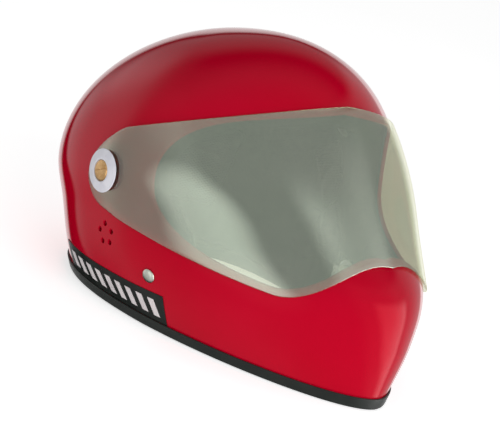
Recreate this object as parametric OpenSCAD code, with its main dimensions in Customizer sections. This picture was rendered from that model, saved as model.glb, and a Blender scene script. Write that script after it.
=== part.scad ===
// Full-face downhill helmet with a swing-up visor.
// Millimetres. The helmet stands on its lower edge: +Z is up, -Y is the wearer's front
// and +X is the wearer's left. The origin is on the floor, under the middle of the
// helmet. The outer skin is a stack of superellipses, described in a head frame whose
// origin lies midway between the visor pivots; head_frame() drops it onto its edge.

/* [Shell] */
// Half width at the visor pivots
pivot_half_w = 120; // [110:1:130]
// Front reach at the pivot level, before the eye port is cut
pivot_front = 116.5; // [110:0.5:122]
// Back reach at the pivot level
pivot_back = 142.5; // [136:0.5:150]
// Heights below the pivots at which the lower shell is measured
levels = [-140, -100, -65, -30]; // [-150:1:-20]
// Half widths at those heights
level_half_w = [67, 92.5, 108, 115.3]; // [60:0.5:125]
// Front reaches at those heights
level_front = [162, 175.5, 176.5, 151]; // [110:0.5:185]
// Back reaches at those heights
level_back = [123.5, 128, 131.3, 136.3]; // [115:0.5:150]
// Height of the crown above the pivots
crown_h = 108; // [100:1:116]
// Thickness of the laminate
shell_t = 3; // [2:0.5:4]
// Height of the pivots above the lower edge of the shell, at the middle
edge_drop = 102.3; // [98:0.1:108]
// Slope of the lower edge, rising to the back
edge_slope = 13.2; // [8:0.1:18]

/* [Eye port] */
// Angle from straight ahead to the rear end of the port
port_half_angle = 70.5; // [64:0.5:72]
// Height of its upper edge above the pivots, in front
port_top = 55; // [50:1:58]
// Strip of shell that the closed visor covers below the port
port_overlap = 5; // [4:0.5:8]

/* [Visor] */
// Thickness of the sheet
visor_t = 2; // [1.6:0.1:2]
// Gap from the shell to the outside of the sheet, at the pivots
visor_stand_off = 4.8; // [4.8:0.1:5.6]
// Radius of the round ear at each pivot
visor_ear_r = 19.5; // [17:0.5:20]

/* [Padding] */
// Thickness of the hard foam around the skull
foam_t = 24; // [18:1:28]
// Thickness of the hard foam in the chin bar
chin_foam_t = 16; // [10:1:20]
// Thickness of the comfort pads
pad_t = 8; // [5:1:11]
// Thickness of the cheek pads
cheek_t = 20; // [14:1:24]

/* [Chin strap] */
// Width of the webbing
strap_w = 20; // [18:1:22]
// Thickness of the webbing
strap_t = 1.5; // [1.2:0.1:1.6]
// Height of the middle of the closed strap above the floor
strap_low = 7; // [6:0.5:10]
// Diameter of the ring wire
ring_wire = 3; // [2.6:0.1:3]

/* [Hidden] */

left = 1;
right = -1;
$fn = 48;

// Shape exponents of the skin, 2 being an ellipse
side_exp = 1.935;      // dome, seen from the front
front_exp = 2.464;     // dome, front half seen from the side
back_exp = 2.33;       // level slices, back half
chin_exp = 1.79;       // level slices, front half, at the chin
brow_exp = 1.93;       // level slices, front half, at the brow
visor_exp = 1.82;      // level slices of the visor
visor_front = 142.5;   // reach of the visor at the pivot level
visor_rake = 0.551;    // forward lean of the visor for each millimetre down
visor_back = 165;      // reach that sets the flatness of the visor's ears
unroll = 170;          // length on the skin of one unit of the flat layout
gap = 0.7;             // clearance between the shell and the foam
pad_gap = 1.6;         // clearance between the foam and the pads

trim_below = 2;        // rubber under the shell's edge
trim_h = 8.5;          // whole height of the rubber edge
trim_lip = 1.7;        // how far it stands out from the shell
trim_gap = 0.35;       // clearance of its slot on each side of the shell
slope = tan(edge_slope);
pivot_z = (edge_drop + trim_below) * cos(edge_slope);
centre_y = 27.85;      // from the pivots back to the middle of the helmet's box

// ---- the outer skin -------------------------------------------------------------
knots = [for (z = levels) z, 0];

// Slope of a row of values at knot i; every profile is level with the dome at the top
function knot_slope(v, i) =
    i == len(knots) - 1 ? 0
    : let (a = max(i - 1, 0)) (v[i + 1] - v[a]) / (knots[i + 1] - knots[a]);

// Smooth curve through the values v at the knots
function profile(v, z) =
    let (
        c = max(knots[0] - 10, min(0, z)),
        i = c < knots[1] ? 0 : c < knots[2] ? 1 : c < knots[3] ? 2 : 3,
        h = knots[i + 1] - knots[i],
        t = (c - knots[i]) / h,
        u = 1 - t
    )
    u * u * (1 + 2 * t) * v[i] + t * t * (3 - 2 * t) * v[i + 1]
    + h * t * u * (u * knot_slope(v, i) - t * knot_slope(v, i + 1));

half_ws = concat(level_half_w, pivot_half_w);
fronts = concat(level_front, pivot_front);
backs = concat(level_back, pivot_back);

// Share of full size left at height z in the dome
function dome(z, e) = z <= 0 ? 1 : pow(max(1 - pow(min(z / crown_h, 1), e), 1e-7), 1 / e);
function ease(t) = let (c = max(0, min(1, t))) c * c * (3 - 2 * c);
function mix(a, b, t) = a + (b - a) * t;

// Radius of a superellipse of half width w and reach l at the angle a from the front
function slice_r(a, w, l, n) = pow(pow(abs(sin(a)) / w, n) + pow(abs(cos(a)) / l, n), -1 / n);

// Point of the skin at the angle a from the front and the level z, moved out by off
function skin(a, z, off = 0) =
    let (
        w = (profile(half_ws, z) + off) * dome(z, side_exp),
        f = (profile(fronts, z) + off) * dome(z, front_exp),
        b = (profile(backs, z) + off) * dome(z, side_exp),
        k = ease((cos(a) + 0.35) / 0.7),
        brow = max(0, min(1, (z + 70) / 90)),
        r = slice_r(a, w, mix(b, f, k), mix(back_exp, mix(chin_exp, brow_exp, brow), k))
    )
    [r * sin(a), -r * cos(a), z > 0 ? z * (crown_h + off) / crown_h : z];

// Outward normal of the skin
function skin_normal(a, z) =
    let (n = cross(skin(a + 0.5, z) - skin(a - 0.5, z), skin(a, z + 0.5) - skin(a, z - 0.5)))
    n / norm(n);

// Level of the skin at the angle a, h above the plane of the shell's lower edge
function edge_level(a, off = 0, h = 0, z = -100, n = 7) =
    n == 0 ? z : edge_level(a, off, h, h - edge_drop + slope * skin(a, z, off)[1], n - 1);

// ---- the flat layout: the crown is its middle, the lower edge its outside -----------
function layout_r(z) = z > 0 ? 1 - asin(min(z / crown_h, 1)) / 90 : 1 - z / unroll;
function layout_z(r) = r < 1 ? crown_h * cos(90 * r) : (1 - r) * unroll;
function layout(a, z) = layout_r(z) * [sin(a), -cos(a)];
function unlayout(q, off) = skin(atan2(q[0], -q[1]), layout_z(norm(q)), off);

// Lower edge of the closed visor; it climbs to a peak over the nose
function visor_low(a) =
    -85.5 + 0.63 * abs(a) + (abs(a) < 30 ? 41.5 * pow(cos(3 * a), 2) : 0);
function visor_high(a) = 60 - 23 * pow(abs(a) / 72, 1.3);

// Eye port outline: t runs from 0 at the left end, over the top, to 180 at the right
// end, and back to 360 along the chin bar
port_mid = -3;
function port_point(t) =
    let (
        a = port_half_angle * cos(t),
        fade = pow(max(0, 1 - pow(abs(cos(t)), 6)), 1 / 2.2),
        edge = sin(t) >= 0 ? port_top - 0.21 * abs(a) : visor_low(a) + port_overlap
    )
    layout(a, mix(port_mid, edge, fade));

// The lower edge point that faces the port point t
port_side = 86;
function edge_angle(t) = t <= 180 ? mix(port_side, 360 - port_side, t / 180)
                                  : mix(-port_side, port_side, (t - 180) / 180);
function edge_point(t) = layout(edge_angle(t), edge_level(edge_angle(t)));

// Layout point the share s of the way from the port to the lower edge
function between(t, s) =
    let (u = (t + 360) % 360) mix(port_point(u), edge_point(u), s);

// Share of that way that is d long on the skin
function share(t, d) =
    let (u = (t + 360) % 360) d / (unroll * norm(edge_point(u) - port_point(u)));

// ---- solids between two skins ----------------------------------------------------
// Faces of one quad as two triangles; those of a skin are cut along the shorter diagonal
function quad(a, b, c, d) = [[a, b, c], [a, c, d]];
function skin_quad(p, a, b, c, d) =
    norm(p[a] - p[c]) <= norm(p[b] - p[d]) ? quad(a, b, c, d) : quad(b, c, d, a);
function flat(lists) = [for (l = lists, x = l) x];

// Closed solid between two equal grids of points; rows close on themselves with wrap
module between_skins(outer, inner, wrap = false) {
    n = len(outer);
    m = len(outer[0]);
    k = n * m;
    last = wrap ? n - 1 : n - 2;
    points = concat(flat(outer), flat(inner));
    faces = concat(
        flat([for (i = [0:last], j = [0:m - 2])
            let (p = i * m + j, q = ((i + 1) % n) * m + j)
            concat(skin_quad(points, p, p + 1, q + 1, q),
                skin_quad(points, k + p, k + q, k + q + 1, k + p + 1))]),
        flat([for (i = [0:last]) let (p = i * m, q = ((i + 1) % n) * m, e = m - 1)
            concat(quad(p, q, k + q, k + p), quad(p + e, k + p + e, k + q + e, q + e))]),
        wrap ? [] : flat([for (j = [0:m - 2]) let (p = j, q = (n - 1) * m + j)
            concat(quad(p, k + p, k + p + 1, p + 1), quad(q, q + 1, k + q + 1, k + q))])
    );
    polyhedron(points = points, faces = faces, convexity = 10);
}

// Grid of skin points over a part of the layout
function field(t0, t1, s0, s1, off, n, m) =
    [for (i = [0:n]) [for (j = [0:m]) unlayout(between(mix(t0, t1, i / n), mix(s0, s1, j / m)), off)]];

// Piece of lining from off down to off - thick, port_gap behind the port's edge and
// edge_gap above the lower edge
module lining(t0, t1, port_gap, edge_gap, off, thick, n, m) {
    function grid(o) = [for (i = [0:n]) let (t = mix(t0, t1, i / n))
        [for (j = [0:m])
            unlayout(between(t, mix(share(t, port_gap), 1 - share(t, edge_gap), j / m)), o)]];
    between_skins(grid(off), grid(off - thick));
}

// Pad with its edges pulled in towards the hard foam
module pad(t0, t1, s0, s1, off, thick, n = 12, m = 6) {
    dt = (t1 - t0) * 0.04;
    ds = (s1 - s0) * 0.06;
    between_skins(
        field(t0, t1, s0, s1, off, n, m),
        field(t0 + dt, t1 - dt, s0 + ds, s1 - ds, off - thick, n, m)
    );
}

// ---- placing --------------------------------------------------------------------
module head_frame() {
    translate([0, centre_y, pivot_z]) rotate([-edge_slope, 0, 0]) children();
}

// Children stand on the outer skin with their +Z along its normal
module on_skin(a, z) {
    n = skin_normal(a, z);
    translate(skin(a, z)) rotate([0, acos(n[2]), atan2(n[1], n[0])]) children();
}

// Children's +Z points out to the given side, along the pivot axis
module along_x(side) {
    rotate([0, 90 * side, 0]) children();
}

// ---- shell, foam and trim --------------------------------------------------------
tee_hole_r = 4.1;
rivet_hole_r = 2.6;
vent_r = 1.75;
vent_ring_r = 7.2;
vent_y = 8;
vent_z = -45.7;
rivet_y = -34;
rivet_z = -69;
rivet_x = 103.3;       // the skin at the rivets
rivet_angle = atan2(rivet_x, -rivet_y);
ear_room_r = 18;       // hollow in the foam over each ear

module drill(r, y, z, from, to) {
    for (side = [left, right])
        translate([0, y, z]) along_x(side) translate([0, 0, from]) cylinder(r = r, h = to - from);
}

module outer_shell() {
    n = 96;
    rows = 22;
    step = 360 / n;
    outer = [for (i = [0:n - 1]) [for (j = [0:rows]) unlayout(between(i * step, j / rows), 0)]];
    inner = [for (i = [0:n - 1]) let (a = edge_angle(i * step))
        [for (j = [0:rows]) j < rows ? unlayout(between(i * step, j / rows), -shell_t)
                                     : skin(a, edge_level(a, -shell_t), -shell_t)]];
    color("crimson") head_frame() difference() {
        between_skins(outer, inner, wrap = true);
        drill(tee_hole_r, 0, 0, 105, 130);
        drill(rivet_hole_r, rivet_y, rivet_z, 85, 115);
        for (i = [0:4])
            drill(vent_r, vent_y + vent_ring_r * sin(72 * i), vent_z + vent_ring_r * cos(72 * i), 95, 125);
    }
}

split = 34;            // layout angle, below the port's end, where chin foam meets dome foam
foam_off = -shell_t - gap;
pad_off = foam_off - foam_t - pad_gap;

// Room in the foam for the strap hangers
module strap_room() {
    for (side = [left, right])
        translate([side * 72 - 32, hang_y - 24, -5]) cube([64, 48, hang_z + 17]);
}

module dome_liner() {
    color("dimgray") difference() {
        head_frame() difference() {
            lining(-split + 1, 180 + split - 1, 5, 11, foam_off, foam_t, 60, 18);
            drill(14, 0, 0, 105, 130);
            drill(ear_room_r, vent_y, vent_z, 60, 125);
        }
        strap_room();
    }
}

module chin_liner() {
    color("dimgray") difference() {
        head_frame() lining(180 + split, 360 - split, 5, 11, foam_off, chin_foam_t, 28, 8);
        strap_room();
    }
}

module bottom_trim() {
    n = 96;
    out = trim_lip;
    in = -shell_t - trim_lip;
    top = trim_h - trim_below;
    low = -trim_below;
    rim = [[out, low], [out, top - 1.2], [out - 0.8, top], [trim_gap, top], [trim_gap, -0.1],
        [-shell_t - trim_gap, -0.1], [-shell_t - trim_gap, top], [in + 0.8, top],
        [in, top - 1.2], [in, low]];
    m = len(rim);
    points = [for (i = [0:n - 1], p = rim)
        let (a = edge_angle(i * 360 / n)) skin(a, edge_level(a, p[0], p[1]), p[0])];
    faces = flat([for (i = [0:n - 1], j = [0:m - 1])
        let (p = i * m, q = ((i + 1) % n) * m, e = (j + 1) % m) quad(p + j, q + j, q + e, p + e)]);
    color("black") head_frame() polyhedron(points = points, faces = faces, convexity = 10);
}

// ---- pads ------------------------------------------------------------------------
// Both pads of a pair: the right one mirrors the left one
module mirrored(side) {
    if (side == right) mirror([1, 0, 0]) children();
    else children();
}

module crown_pad() { color("darkslategray") head_frame() pad(48, 132, 0.17, 0.48, pad_off, pad_t, 14, 8); }
module brow_pad() { color("darkslategray") head_frame() pad(42, 138, 0.045, 0.14, pad_off, pad_t, 24, 4); }
module neck_pad() { color("darkslategray") head_frame() pad(60, 120, 0.6, 0.9, pad_off, pad_t, 16, 8); }

module temple_pad(side) {
    color("darkslategray") head_frame() mirrored(side) pad(6, 42, 0.12, 0.44, pad_off, pad_t);
}

module cheek_pad(side) {
    color("darkslategray") head_frame() mirrored(side) pad(-30, 0, 0.08, 0.42, pad_off, cheek_t);
}

// Hook discs between the foam and the pads: [layout angle, share]
dots = [[70, 0.25], [110, 0.25], [70, 0.4], [110, 0.4], [60, 0.09], [90, 0.09], [120, 0.09],
    [75, 0.75], [105, 0.75]];
module hook_dots() {
    color("gray") head_frame() for (d = dots) {
        p = unlayout(between(d[0], d[1]), pad_off);
        q = unlayout(between(d[0], d[1]), pad_off + 1);
        n = (q - p) / norm(q - p);
        translate(p + 0.25 * n) rotate([0, acos(n[2]), atan2(n[1], n[0])]) cylinder(r = 4, h = 0.3);
    }
}

// ---- plain band along the lower edge -------------------------------------------
band_front = 66;
band_back = 128;
band_t = 0.4;
function band_top(a) = mix(30, 25, (a - band_front) / (band_back - band_front));

module band_patch(a0, a1, h0, h1, lean, off, thick, n, m) {
    function at(i, j, o) = let (
        a = mix(a0, a1, i / n),
        b = a + lean * j / m,
        h = mix(h0, h1 * band_top(b), j / m)
    ) skin(b, edge_level(b, o, h), o);
    between_skins(
        [for (i = [0:n]) [for (j = [0:m]) at(i, j, off + thick)]],
        [for (i = [0:n]) [for (j = [0:m]) at(i, j, off)]]
    );
}

module side_bands() {
    color("black") head_frame() for (side = [left, right])
        mirrored(side) band_patch(band_front, band_back, trim_h - trim_below + 0.2, 1, 0, 0.1, band_t, 30, 2);
}

module band_bars() {
    bars = 9;
    pitch = (band_back - band_front - 6) / bars;
    color("lightgray") head_frame() for (side = [left, right], i = [0:bars - 1])
        mirrored(side) band_patch(band_front + 3 + i * pitch, band_front + 3 + (i + 0.5) * pitch,
            trim_h - trim_below + 5, 0.82, 2, 0.1 + band_t + 0.05, 0.3, 2, 2);
}

// ---- visor and its pivots --------------------------------------------------------
ear_z = -6;            // middle of each round ear, below the pivot
bushing_r = 9.5;
boss_r = 6;
visor_hole_r = boss_r + 0.06;
bushing_x = pivot_half_w + 0.1;
visor_x = pivot_half_w + visor_stand_off;
washer_x = visor_x + 0.3;
washer_r = 15.5;
screw_head_r = 7.3;
screw_r = 2.45;
thread_r = 2.5;

// Point of the visor at the angle a from the front and the height z
function visor_point(a, z, off) =
    let (
        w = profile(half_ws, z) * dome(z, side_exp) + visor_stand_off + off,
        l = cos(a) > 0 ? visor_front - visor_rake * z + off : visor_back,
        r = slice_r(a, w, l, visor_exp)
    )
    [r * sin(a), -r * cos(a), z];

// Heights of the visor's edges: straight runs, closed by the round ears
ear_start = 83;
ear_blend = 18.5;
ear_end = 90 + asin(visor_ear_r / visor_x);
function ear_half(a) =
    let (y = max(0, visor_x * sin(a - 90))) sqrt(max(0.2, visor_ear_r * visor_ear_r - y * y));
function visor_edge(a, up) =
    let (b = abs(a), straight = up ? visor_high(b) : visor_low(b))
    mix(straight, ear_z + (up ? 1 : -1) * ear_half(b), ease((b - ear_start) / ear_blend));

module visor() {
    n = 64;
    rows = 9;
    grid = [for (off = [0, -visor_t]) [for (i = [0:n])
        let (u = 2 * i / n - 1, a = ear_end * u * (1.5 - 0.5 * u * u))
        [for (j = [0:rows]) visor_point(a, mix(visor_edge(a, false), visor_edge(a, true), j / rows), off)]]];
    color("slategray", 0.6) head_frame() difference() {
        between_skins(grid[0], grid[1]);
        drill(visor_hole_r, 0, 0, 105, 135);
    }
}

module visor_bushing(side) {
    color("dimgray") head_frame() along_x(side) difference() {
        union() {
            translate([0, 0, bushing_x]) cylinder(r = bushing_r, h = visor_x - visor_t - 1.1 - bushing_x);
            translate([0, 0, bushing_x]) cylinder(r = boss_r, h = washer_x - bushing_x);
        }
        translate([0, 0, bushing_x - 1]) cylinder(r = tee_r + 0.1, h = 20);
    }
}

module visor_washer(side) {
    color("lavender") head_frame() along_x(side) translate([0, 0, washer_x]) rotate_extrude()
        polygon([[2.7, 0], [washer_r - 0.5, 0], [washer_r, 0.5], [washer_r - 0.4, 1], [9.2, 2.4],
            [7.8, 2.4], [7.6, 1.1], [2.7, 1.1]]);
}

module visor_screw(side) {
    head_z = washer_x + 1.1;
    color("tan") head_frame() along_x(side) difference() {
        union() {
            translate([0, 0, head_z]) rotate_extrude()
                polygon([[0, 0], [screw_head_r, 0], [screw_head_r, 0.9], [6.4, 1.4], [4, 1.8], [0, 2]]);
            translate([0, 0, pivot_half_w - 5]) cylinder(r = screw_r, h = head_z - pivot_half_w + 5.5);
        }
        rotate([0, 0, 12]) translate([-0.8, -10, head_z + 0.8]) cube([1.6, 20, 3]);
    }
}

tee_r = 4;
module tee_nut(side) {
    x = pivot_half_w - shell_t - 1;
    color("silver") head_frame() along_x(side) difference() {
        union() {
            translate([0, 0, x - 1.5]) cylinder(r = 8, h = 1.5);
            translate([0, 0, x - 1.5]) cylinder(r = tee_r, h = washer_x - 0.2 - x + 1.5);
        }
        translate([0, 0, x - 3]) cylinder(r = thread_r, h = 20);
    }
}

// ---- chin strap ------------------------------------------------------------------
// The rivets' common axis, in the floor frame; both hangers swing on it
hang_y = centre_y + rivet_y * cos(edge_slope) + rivet_z * sin(edge_slope);
hang_z = pivot_z - rivet_y * sin(edge_slope) + rivet_z * cos(edge_slope);
shank_r = 2.5;
hanger_x = 88;         // outer face of each hanger plate
hanger_t = 1.5;
hanger_drop = 17;      // from the rivet down to the bar that carries the webbing
bar_r = 1.9;

module at_rivet(side) {
    translate([0, hang_y, hang_z]) along_x(side) children();
}

module strap_rivet(side) {
    color("gainsboro") {
        head_frame() mirrored(side) on_skin(rivet_angle, rivet_z) translate([0, 0, 0.3])
            intersection() {
                translate([0, 0, -4.2]) sphere(r = 6.7);
                cylinder(r = 6, h = 4);
            }
        at_rivet(side) translate([0, 0, hanger_x - 4]) cylinder(r = shank_r, h = rivet_x - hanger_x + 5);
        at_rivet(side) translate([0, 0, hanger_x - 4.2]) cylinder(r = 4.5, h = 1.8);
    }
}

module rivet_spacer(side) {
    color("black") at_rivet(side) translate([0, 0, hanger_x + 0.3]) difference() {
        cylinder(r = 4.5, h = 8.2);
        translate([0, 0, -1]) cylinder(r = shank_r + 0.05, h = 10);
    }
}

module strap_hanger(side) {
    color("silver") at_rivet(side) translate([0, 0, hanger_x - hanger_t]) difference() {
        union() {
            cylinder(r = 8, h = hanger_t);
            translate([side * (hanger_drop + 3) / 2, 0, hanger_t / 2])
                cube([hanger_drop + 3, strap_w + 6, hanger_t], center = true);
        }
        translate([0, 0, -1]) cylinder(r = shank_r + 0.06, h = 4);
        translate([side * (hanger_drop - 4), 0, 0]) cube([4.4, strap_w + 1, 6], center = true);
    }
}

// Band of thickness t along a path of points
function turn_at(path, i) =
    let (d = path[min(i + 1, len(path) - 1)] - path[max(i - 1, 0)]) [-d[1], d[0]] / norm(d);
module ribbon(path, t) {
    ids = [0:len(path) - 1];
    polygon(concat(
        [for (i = ids) path[i] + turn_at(path, i) * t / 2],
        [for (i = ids) let (k = len(path) - 1 - i) path[k] - turn_at(path, k) * t / 2]
    ));
}

// Closed strap as seen from behind, in floor coordinates [x, z]; right is +x here
bar_x = hanger_x - hanger_t / 2;
bar_z = hang_z - hanger_drop - 0.6;
strap_end = [bar_x - 2, bar_z - 3];
function hang(x) = strap_low + (strap_end[1] - strap_low) * pow(x / strap_end[0], 2);

// Ring frame: the outer ring's free bar is its origin
ring_x = 30;
ring_tilt = atan(2 * (strap_end[1] - strap_low) * ring_x / pow(strap_end[0], 2));
function from_rings(p) =
    [ring_x, hang(ring_x) + 4.3] + [p[0] * cos(ring_tilt) - p[1] * sin(ring_tilt),
        p[0] * sin(ring_tilt) + p[1] * cos(ring_tilt)];
outer_free = [0, 0];
inner_free = [6.9, 2.2];
outer_held = [15.1, -1.7];
inner_held = [22, 1];

module capsule(a, b, r) {
    d = b - a;
    translate(a) circle(r);
    translate(b) circle(r);
    translate(a) rotate(atan2(d[1], d[0])) translate([0, -r]) square([norm(d), 2 * r]);
}

// Webbing lies across the helmet: the drawing's x is the wearer's left
module webbing() {
    translate([0, hang_y + strap_w / 2, 0]) rotate([90, 0, 0]) linear_extrude(strap_w)
        offset(delta = 0.01) children();
}

module hanger_loop() {
    difference() {
        capsule([bar_x, bar_z - 1], [bar_x, bar_z + 1], bar_r + strap_t);
        capsule([bar_x, bar_z - 1], [bar_x, bar_z + 1], bar_r);
    }
}

module strap_left() {
    held = [from_rings(outer_held), from_rings(inner_held)];
    color("darkslategray") webbing() {
        hanger_loop();
        difference() {
            union() {
                capsule(held[0], held[1], ring_wire / 2 + 0.3 + strap_t);
                ribbon([held[1], mix(held[1], strap_end, 0.5) - [0, 0.6], strap_end], 2 * strap_t);
            }
            capsule(held[0], held[1], ring_wire / 2 + 0.3);
        }
    }
}

module strap_right() {
    wrap = ring_wire / 2 + 0.2 + strap_t / 2;
    far = [for (x = [-strap_end[0]:8:ring_x - 12]) [x, hang(x)]];
    rings = [for (p = [[1, -4.3], [7.2, -4.3], [9.1, -3.2], [9.7, -1.2], inner_free + [wrap + 0.1, 0],
        inner_free + wrap * [0.7, 0.7], inner_free + [0, wrap], inner_free + wrap * [-0.7, 0.7],
        inner_free + [-wrap, 0], [3.4, 0.6], [wrap, -0.4], wrap * [0.6, -0.8], [0, -wrap]])
        from_rings(p)];
    tail = [for (x = [ring_x - 10:-8:-14]) [x, hang(x) + strap_t + 0.3]];
    color("darkslategray") webbing() {
        mirror([1, 0]) hanger_loop();
        ribbon(concat(far, rings, tail), strap_t);
    }
}

// Rectangular wire ring between a held bar and a free bar
module wire_ring(free, held) {
    half = strap_w / 2 + ring_wire / 2 + 1;
    a = from_rings(free);
    b = from_rings(held);
    r = ring_wire / 2;
    for (p = [a, b]) translate([p[0], hang_y, p[1]]) rotate([90, 0, 0])
        cylinder(r = r, h = 2 * (half + r), center = true);
    for (s = [-1, 1]) translate([a[0], hang_y + s * half, a[1]])
        rotate([0, 90 - atan2(b[1] - a[1], b[0] - a[0]), 0]) cylinder(r = 0.8 * r, h = norm(b - a));
}

module d_ring_inner() { color("silver") wire_ring(inner_free, inner_held); }
module d_ring_outer() { color("silver") wire_ring(outer_free, outer_held); }

snap_x = -4;
snap_r = 5.5;
module snap_socket() {
    color("silver") translate([snap_x, hang_y, hang(snap_x) + 1.5 * strap_t + 0.9])
        cylinder(r1 = snap_r, r2 = snap_r - 1.2, h = 1.6);
}
module snap_stud() {
    color("silver") translate([snap_x, hang_y, hang(snap_x) - strap_t / 2 - 1.3])
        cylinder(r1 = snap_r - 0.6, r2 = snap_r, h = 1.2);
}

outer_shell();
dome_liner();
chin_liner();
bottom_trim();
crown_pad();
brow_pad();
neck_pad();
temple_pad(left);  // temple_pad_left
temple_pad(right);  // temple_pad_right
cheek_pad(left);  // cheek_pad_left
cheek_pad(right);  // cheek_pad_right
hook_dots();
side_bands();
band_bars();
visor();
visor_bushing(left);  // visor_bushing_left
visor_bushing(right);  // visor_bushing_right
visor_washer(left);  // visor_washer_left
visor_washer(right);  // visor_washer_right
visor_screw(left);  // visor_screw_left
visor_screw(right);  // visor_screw_right
tee_nut(left);  // tee_nut_left
tee_nut(right);  // tee_nut_right
strap_rivet(left);  // strap_rivet_left
strap_rivet(right);  // strap_rivet_right
rivet_spacer(left);  // rivet_spacer_left
rivet_spacer(right);  // rivet_spacer_right
strap_hanger(left);  // strap_hanger_left
strap_hanger(right);  // strap_hanger_right
strap_left();
strap_right();
d_ring_inner();
d_ring_outer();
snap_stud();
snap_socket();
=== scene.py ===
"""Full-face helmet with a swing-up visor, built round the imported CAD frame.

Shapes are computed in millimetres, mostly in a head frame whose origin lies midway
between the visor pivots, and then placed in the row frame in metres.
"""

import math

import bmesh
import bpy
import numpy as np
from mathutils import Matrix, Vector
from mathutils.bvhtree import BVHTree


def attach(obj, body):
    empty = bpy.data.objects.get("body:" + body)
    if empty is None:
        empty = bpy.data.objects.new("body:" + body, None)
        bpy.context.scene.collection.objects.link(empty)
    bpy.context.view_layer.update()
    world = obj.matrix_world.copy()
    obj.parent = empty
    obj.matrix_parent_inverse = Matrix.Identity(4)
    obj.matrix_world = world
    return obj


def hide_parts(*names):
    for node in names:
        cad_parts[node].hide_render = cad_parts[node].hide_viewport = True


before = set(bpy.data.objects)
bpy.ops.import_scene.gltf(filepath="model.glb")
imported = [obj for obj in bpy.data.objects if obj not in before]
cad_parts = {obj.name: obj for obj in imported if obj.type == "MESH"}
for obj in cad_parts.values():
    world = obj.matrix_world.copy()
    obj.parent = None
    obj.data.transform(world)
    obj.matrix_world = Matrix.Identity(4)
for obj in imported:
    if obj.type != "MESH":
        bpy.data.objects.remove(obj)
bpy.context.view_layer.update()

MM = 0.001
TILT = math.radians(-13.2)          # the head frame leans forward by this
PIVOT = np.array([0.0, 27.85, 101.545])
LEAN = np.array([[1, 0, 0],
                 [0, math.cos(TILT), -math.sin(TILT)],
                 [0, math.sin(TILT), math.cos(TILT)]])
SIDES = (("left", 1), ("right", -1))

# ---- camera ----
AZIMUTH, ELEVATION, ROLL = (math.radians(v) for v in (-41.033, 4.653, 5.39))
DISTANCE = 1300.0                   # mm from the pivots
PIXELS_PER_MM = 1.346
PIVOT_PIXEL = (239.24, 173.59)
IMAGE = (500, 429)


def camera_axes():
    """Right, up and back of the camera, as rows, in the row frame."""
    a, e, r = AZIMUTH, ELEVATION, ROLL
    back = np.array([math.sin(a) * math.cos(e), -math.cos(a) * math.cos(e), math.sin(e)])
    side = np.array([math.cos(a), math.sin(a), 0])
    up = np.array([-math.sin(a) * math.sin(e), math.cos(a) * math.sin(e), math.cos(e)])
    rows = [math.cos(r) * side + math.sin(r) * up, -math.sin(r) * side + math.cos(r) * up, back]
    return np.array(rows) @ LEAN.T


VIEW_RIGHT, VIEW_UP, VIEW_BACK = camera_axes()


def make_camera():
    dx = (IMAGE[0] / 2 - PIVOT_PIXEL[0]) / PIXELS_PER_MM
    dy = (IMAGE[1] / 2 - PIVOT_PIXEL[1]) / PIXELS_PER_MM
    place = PIVOT + DISTANCE * VIEW_BACK
    aim = PIVOT + dx * VIEW_RIGHT - dy * VIEW_UP
    z = Vector(place - aim).normalized()
    x = Vector(VIEW_UP).cross(z).normalized()
    y = z.cross(x)
    data = bpy.data.cameras.new("camera")
    data.sensor_width = 36
    data.lens = 36 * DISTANCE * PIXELS_PER_MM / IMAGE[0]
    data.clip_start, data.clip_end = 0.05, 50
    camera = bpy.data.objects.new("camera", data)
    bpy.context.scene.collection.objects.link(camera)
    turn = Matrix((x, y, z)).transposed().to_4x4()
    camera.matrix_world = Matrix.Translation(Vector(place * MM)) @ turn
    bpy.context.scene.camera = camera


make_camera()

# ---- the outer skin ----
KNOTS = np.array([-140.0, -100, -65, -30, 0])
HALF_WIDTHS = np.array([67.0, 92.5, 108, 115.3, 120])
FRONTS = np.array([162.0, 175.5, 176.5, 151, 116.5])
BACKS = np.array([123.5, 128, 131.3, 136.3, 142.5])
CROWN = 108.0
SHELL_T = 3.0
SIDE_EXP, FRONT_EXP, BACK_EXP, CHIN_EXP, BROW_EXP = 1.935, 2.464, 2.33, 1.79, 1.93
UNROLL = 170.0
PORT_HALF, PORT_TOP, PORT_MID, PORT_OVERLAP, PORT_SIDE = 70.5, 55.0, -3.0, 5.0, 86.0
EDGE_DROP = 102.3
FOAM_OFF = -SHELL_T - 0.7
FOAM_T = 24.0
PAD_OFF = FOAM_OFF - FOAM_T - 1.6


def sin(a):
    return np.sin(np.radians(a))


def cos(a):
    return np.cos(np.radians(a))


def mix(a, b, t):
    return a + (b - a) * t


def ease(t):
    c = np.clip(t, 0, 1)
    return c * c * (3 - 2 * c)


def profile(v, z):
    """Smooth curve through the values v at the knots; level with the dome at the top."""
    m = np.array([(v[i + 1] - v[max(i - 1, 0)]) / (KNOTS[i + 1] - KNOTS[max(i - 1, 0)])
                  for i in range(4)] + [0.0])
    c = np.clip(z, KNOTS[0] - 10, 0)
    i = np.clip(np.searchsorted(KNOTS, c, side="right") - 1, 0, 3)
    h = KNOTS[i + 1] - KNOTS[i]
    t = (c - KNOTS[i]) / h
    u = 1 - t
    return (u * u * (1 + 2 * t) * v[i] + t * t * (3 - 2 * t) * v[i + 1]
            + h * t * u * (u * m[i] - t * m[i + 1]))


def dome(z, e):
    top = np.maximum(1 - np.minimum(np.maximum(z, 0) / CROWN, 1) ** e, 1e-7) ** (1 / e)
    return np.where(z <= 0, 1.0, top)


def slice_r(a, w, reach, n):
    return ((abs(sin(a)) / w) ** n + (abs(cos(a)) / reach) ** n) ** (-1 / n)


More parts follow.
